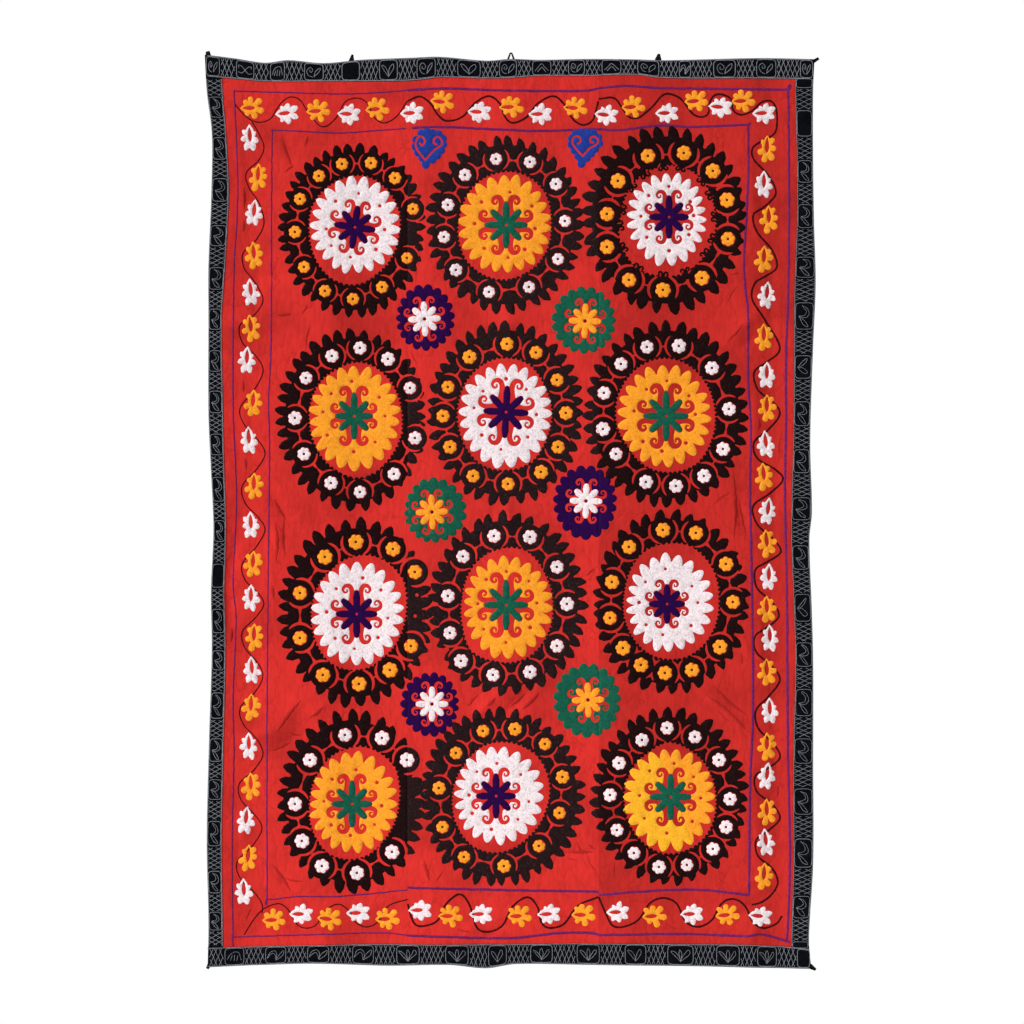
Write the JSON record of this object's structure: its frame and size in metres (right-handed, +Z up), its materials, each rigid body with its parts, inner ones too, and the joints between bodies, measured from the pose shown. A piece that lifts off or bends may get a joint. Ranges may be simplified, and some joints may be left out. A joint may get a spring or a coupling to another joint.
{
  "type": "suzani embroidered wall hanging",
  "caption": "Red cotton suzani wall hanging with embroidered rosettes, a flowering vine border, dark patterned edge strips and small tape loops.",
  "frame": {"origin": "under the crown of the middle loop at the top edge, where a hook or nail bears", "axes": "+X to the viewer's right, +Y from the embroidered front to the wall, +Z up"},
  "size_m": [1.4754, 0.0165, 2.2081],
  "materials": {
    "red_cotton": "plain woven cotton, scarlet, soft sheen",
    "black_thread": "couched embroidery thread, black",
    "charcoal_thread": "couched embroidery thread, faded black",
    "white_thread": "couched embroidery thread, white",
    "orange_thread": "couched embroidery thread, orange",
    "yellow_thread": "couched embroidery thread, yellow orange",
    "green_thread": "couched embroidery thread, green",
    "purple_thread": "couched embroidery thread, deep purple",
    "blue_thread": "couched embroidery thread, blue",
    "violet_line": "chain stitch line, violet",
    "maroon_thread": "chain stitch vine, dark maroon",
    "border_band": "woven band, near black",
    "border_stitch": "stitching on the band, grey",
    "loop_tape": "folded woven tape, black"
  },
  "bodies": {
    "root": {"panel_left": "red_cotton", "panel_middle": "red_cotton", "panel_right": "red_cotton", "strip_top": "border_band", "strip_bottom": "border_band", "strip_left": "border_band", "strip_right": "border_band", "loop_top_left": "loop_tape", "loop_top_middle": "loop_tape", "loop_top_right": "loop_tape", "loop_corner_top_left": "loop_tape", "loop_corner_top_right": "loop_tape", "loop_corner_bottom_left": "loop_tape", "loop_corner_bottom_right": "loop_tape"}
  },
  "joints": []
}
